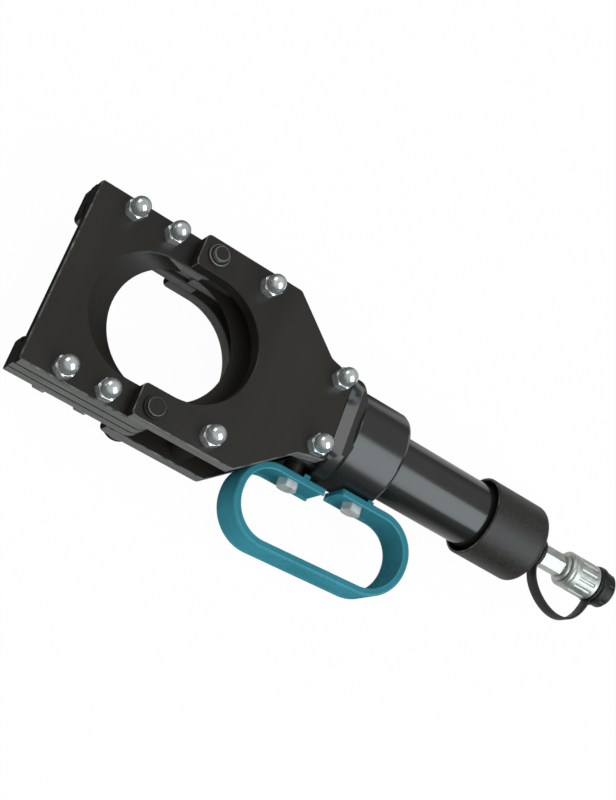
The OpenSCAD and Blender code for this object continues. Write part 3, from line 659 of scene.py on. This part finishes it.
def strapTree():
    sizes = ("bandWidth", "bandThick", "softness", "ringOuter", "ringInner", "ringFrom", "ringTo",
             "eyeOuter", "eyeInner", "eyeFrom", "eyeTo")
    tree, given, out = newTree("capStrap", sizes)
    size = given.outputs

    def section(width, height):
        outline = tree.nodes.new("GeometryNodeCurvePrimitiveQuadrilateral")
        plug(tree, width, outline.inputs["Width"])
        plug(tree, height, outline.inputs["Height"])
        corner = tree.nodes.new("GeometryNodeFilletCurve")
        corner.mode = "POLY"
        corner.inputs["Count"].default_value = capStrap["cornerSteps"]
        plug(tree, size["softness"], corner.inputs["Radius"])
        tree.links.new(outline.outputs["Curve"], corner.inputs["Curve"])
        return corner.outputs["Curve"]

    line = tree.nodes.new("GeometryNodeMeshToCurve")
    tree.links.new(size["Geometry"], line.inputs["Mesh"])
    upright = tree.nodes.new("GeometryNodeSetCurveNormal")
    upright.mode = "Z_UP"
    tree.links.new(line.outputs["Curve"], upright.inputs["Curve"])
    pieces = [swept(tree, upright.outputs["Curve"], section(size["bandThick"], size["bandWidth"]), True)]
    for end in ("ring", "eye"):
        outer, inner, low, high = (size[end + word] for word in ("Outer", "Inner", "From", "To"))
        radius = calc(tree, "MULTIPLY", calc(tree, "ADD", outer, inner), 0.5)
        hoop = hoopOf(tree, radius, capStrap["hoopSides"])
        profile = section(calc(tree, "SUBTRACT", outer, inner), calc(tree, "SUBTRACT", high, low))
        middle = point(tree, calc(tree, "MULTIPLY", calc(tree, "ADD", low, high), 0.5), 0.0, 0.0)
        pieces.append(placed(tree, swept(tree, hoop, profile, False), (0, math.pi / 2, 0), middle))
    finishTree(tree, given, out, joined(tree, pieces))
    return tree


def makeStrap():
    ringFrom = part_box("cap_strap")[0].x
    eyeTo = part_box("coupler_collar")[1].x + capStrap["eyePastCollar"]
    eyeFrom = eyeTo - capStrap["eyeWide"]
    corners = [(ringFrom + capStrap["ringWide"] / 2, y, 0) for y in capStrap["leaveY"]]
    corners += [(x, y, 0) for x, y in capStrap["sag"]]
    corners += [(eyeFrom + capStrap["eyeWide"] / 2, capStrap["arriveY"], 0)]
    spots = bowPoints(corners, capStrap["steps"])
    mesh = bpy.data.meshes.new("cap_strapBand")
    mesh.from_pydata([tuple(spot) for spot in spots], [(i, i + 1) for i in range(len(spots) - 1)], [])
    obj = newPiece("cap_strapBand", mesh)
    ringTo = ringFrom + capStrap["ringWide"]
    places = {"ringFrom": ringFrom, "ringTo": ringTo, "eyeFrom": eyeFrom, "eyeTo": eyeTo}
    runTree(strapTree(), obj, {**capStrap, **places, "finish": paint["blackRubber"]})
    softShade(obj.data, capStrap["sharp"])
    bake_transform(obj)
    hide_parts("cap_strap")
    length = sum((b - a).length for a, b in zip(spots, spots[1:]))
    print("strap made, length mm:", round(length / mm, 1))


makeStrap()

# return spring: round wire wound on a helix; it moves whole with its body and is not pressed together as the
# ram comes forward
returnSpring = {
    "turns": 7.0, "wire": 1.6 * mm, "coil": 14.4 * mm, "turnSteps": 36, "wireSides": 14, "sharp": 50,
}


def springTree():
    tree, given, out = newTree("returnSpring", ("turns", "wire", "coil", "start", "length"))
    size = given.outputs
    helix = tree.nodes.new("GeometryNodeCurveSpiral")
    helix.inputs["Resolution"].default_value = returnSpring["turnSteps"]
    helix.inputs["Reverse"].default_value = True
    sizes = {"Rotations": "turns", "Start Radius": "coil", "End Radius": "coil", "Height": "length"}
    for name, value in sizes.items():
        plug(tree, size[value], helix.inputs[name])
    wire = swept(tree, helix.outputs["Curve"], hoopOf(tree, size["wire"], returnSpring["wireSides"]), True)
    along = (math.pi / 2, 0, math.pi / 2)
    finishTree(tree, given, out, placed(tree, wire, along, point(tree, size["start"], 0.0, 0.0)))
    return tree


def makeSpring():
    low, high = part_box("return_spring")
    wire = returnSpring["wire"]
    obj = newPiece("return_springWound", bpy.data.meshes.new("return_springWound"))
    places = {"start": low.x + wire, "length": high.x - low.x - 2 * wire}
    runTree(springTree(), obj, {**returnSpring, **places, "finish": finishOf("return_spring")})
    softShade(obj.data, returnSpring["sharp"])
    settle(obj, "return_spring")
    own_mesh(obj)
    print("spring wound")


makeSpring()

# studio: white paper under the tool, whose mirror image fades by place,
# and a sky that mirrors brighter overhead
studio = {
    "floorDrop": 0.6, "floorReach": 6.0, "floorTone": 0.86, "floorRough": 0.9, "glow": 0.97,
    "mirrored": (0.05, 0.72), "mirrorX": (0.16, 0.28), "mirrorY": (-0.15, -0.01),
    "skyRise": (0.05, 0.6), "skyMirrored": (0.16, 0.46), "skyFill": 0.50, "skyTone": (0.985, 1.0, 0.95),
    "aim": (0.15, 0, 0),
}
lamps = [
    {"name": "softBox", "spot": (0.87, -0.67, 1.26), "across": (1.2, 2.0), "power": 18.5,
     "tone": (0.86, 0.955, 1.0), "mirrored": True},
    {"name": "leftLamp", "spot": (-1.19, 0.66, 0.88), "across": (1.0, 0.8), "power": 4.5,
     "tone": (0.97, 1.0, 0.98), "mirrored": True},
    {"name": "sideFill", "spot": (-0.25, -1.45, 0.35), "across": (1.4, 0.6), "power": 7.0,
     "tone": (0.95, 0.99, 1.0), "mirrored": False},
]


def paperShader(tree):
    paper = tree.nodes["Principled BSDF"]
    paper.inputs["Base Color"].default_value = (studio["floorTone"],) * 3 + (1,)
    paper.inputs["Roughness"].default_value = studio["floorRough"]
    ray = tree.nodes.new("ShaderNodeLightPath").outputs
    place = tree.nodes.new("ShaderNodeTexCoord")
    spot = spotParts(tree, place.outputs["Object"])
    along, aside = (eased(tree, spot[axis], studio["mirror" + axis], (0, 1)) for axis in "XY")
    fade = eased(tree, calc(tree, "MULTIPLY", along, aside), (0, 1), studio["mirrored"])
    light = tree.nodes.new("ShaderNodeEmission")
    tree.links.new(calc(tree, "MAXIMUM", ray["Is Camera Ray"], fade), light.inputs["Strength"])
    seen = calc(tree, "MULTIPLY", ray["Is Camera Ray"], studio["glow"])
    mix = tree.nodes.new("ShaderNodeMixShader")
    tree.links.new(calc(tree, "MAXIMUM", seen, ray["Is Glossy Ray"]), mix.inputs["Fac"])
    tree.links.new(paper.outputs["BSDF"], mix.inputs[1])
    tree.links.new(light.outputs["Emission"], mix.inputs[2])
    tree.links.new(mix.outputs["Shader"], tree.nodes["Material Output"].inputs["Surface"])


def layFloor():
    low, reach = cadBox[0].z - studio["floorDrop"] * mm, studio["floorReach"]
    mesh = bpy.data.meshes.new("studioFloor")
    corners = [(-reach, -reach, low), (reach, -reach, low), (reach, reach, low), (-reach, reach, low)]
    mesh.from_pydata(corners, [], [(0, 1, 2, 3)])
    floor = newPiece("studioFloor", mesh)
    material = bpy.data.materials.new("palePaper")
    material.use_nodes = True
    paperShader(material.node_tree)
    mesh.materials.append(material)


def hangLamps():
    for lamp in lamps:
        data = bpy.data.lights.new(lamp["name"], "AREA")
        data.shape = "RECTANGLE"
        data.size, data.size_y = lamp["across"]
        data.energy = lamp["power"]
        data.color = lamp["tone"]
        obj = newPiece(lamp["name"], data)
        obj.visible_glossy = lamp["mirrored"]
        obj.location = lamp["spot"]
        obj.rotation_mode = "QUATERNION"
        obj.rotation_quaternion = (Vector(studio["aim"]) - Vector(lamp["spot"])).to_track_quat("-Z", "Y")


def lightSky():
    world = bpy.data.worlds.new("studioWorld")
    world.use_nodes = True
    tree = world.node_tree
    sky = tree.nodes["Background"]
    sky.inputs["Color"].default_value = (*studio["skyTone"], 1)
    look = tree.nodes.new("ShaderNodeTexCoord")
    rise = spotParts(tree, look.outputs["Generated"])["Z"]
    ray = tree.nodes.new("ShaderNodeLightPath").outputs
    mirrored = eased(tree, rise, studio["skyRise"], studio["skyMirrored"])
    change = calc(tree, "SUBTRACT", mirrored, studio["skyFill"])
    level = calc(tree, "MULTIPLY_ADD", ray["Is Glossy Ray"], change, studio["skyFill"])
    tree.links.new(calc(tree, "MAXIMUM", level, ray["Is Camera Ray"]), sky.inputs["Strength"])
    scene.world = world


layFloor()
hangLamps()
lightSky()
scene.view_settings.view_transform = "Standard"
print("studio lit")
